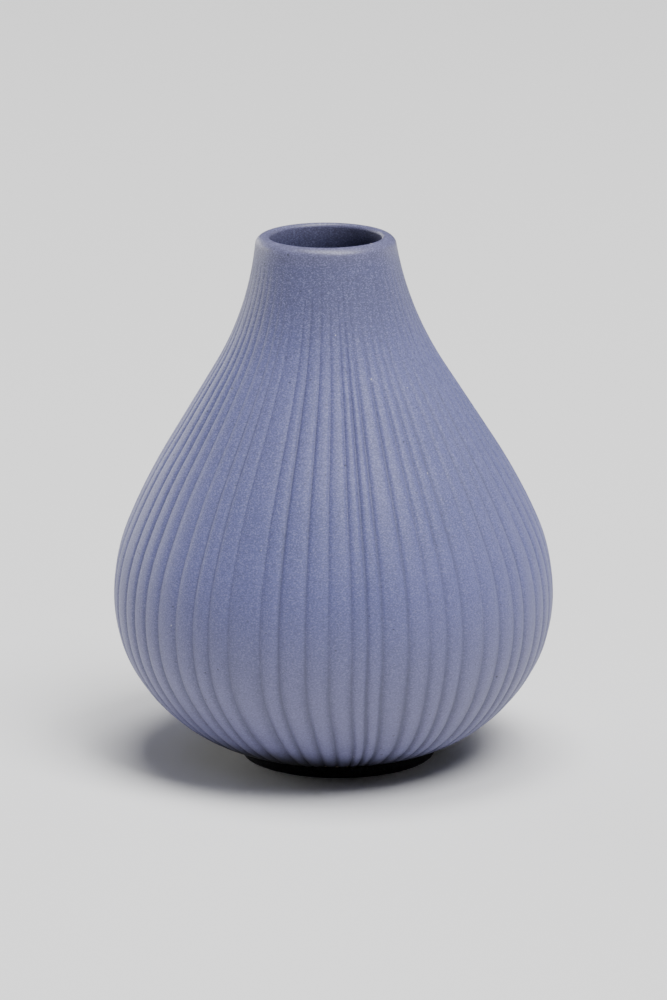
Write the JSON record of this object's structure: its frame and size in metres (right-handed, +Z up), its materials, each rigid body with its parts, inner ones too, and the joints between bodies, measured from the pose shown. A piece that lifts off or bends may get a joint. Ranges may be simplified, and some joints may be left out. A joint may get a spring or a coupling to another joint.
{
  "type": "ceramic bud vase",
  "caption": "Fig-shaped ceramic bud vase with a narrow round-lipped mouth, combed upright grooves in a matte coat, and a black foot pad.",
  "frame": {"origin": "middle of the resting face, under the foot pad, on the vase's axis", "axes": "+Z up along the vase's axis towards the mouth; -Y is the side that faces the viewer; +X is the viewer's right"},
  "size_m": [0.117, 0.117, 0.141],
  "materials": {
    "clay": "fired stoneware, bare",
    "matte_glaze": "matte, fine-grained, with pinholes",
    "liner": "satin",
    "adhesive": "clear film",
    "pad": "dense black felt"
  },
  "bodies": {
    "root": {"clay_body": "clay", "matte_coat": "matte_glaze", "liner_glaze": "liner", "adhesive_film": "adhesive", "foot_pad": "pad"}
  },
  "joints": []
}
